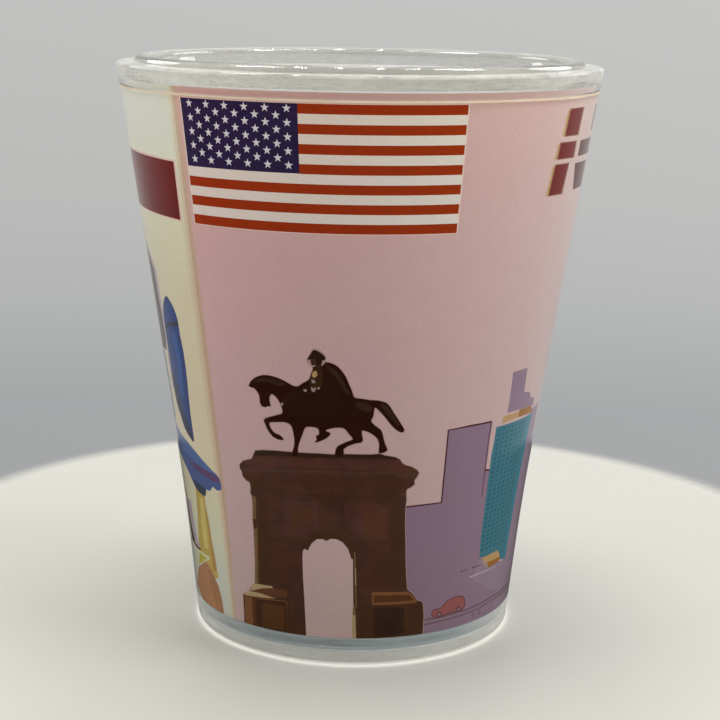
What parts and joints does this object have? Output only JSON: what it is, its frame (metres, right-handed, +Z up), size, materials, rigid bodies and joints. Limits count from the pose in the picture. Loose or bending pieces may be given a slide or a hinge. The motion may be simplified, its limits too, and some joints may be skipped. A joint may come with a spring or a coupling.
{
  "type": "shot glass",
  "caption": "Tapered double-walled clear plastic shot glass with a raised rounded lip, a foot ring and a printed picture sheet sealed between its walls.",
  "frame": {"origin": "centre of the plane it stands on, on the axis of revolution", "axes": "+Z up along the axis of revolution, the side with the main picture faces -Y, +X to the right of that side"},
  "size_m": [0.0498, 0.0498, 0.06],
  "materials": {
    "outer_shell": "polished clear polystyrene",
    "inner_cup": "polished clear polystyrene",
    "printed_insert": "colour print on coated paper"
  },
  "bodies": {
    "root": {"outer_shell": "outer_shell", "inner_cup": "inner_cup", "printed_insert": "printed_insert"}
  },
  "joints": []
}
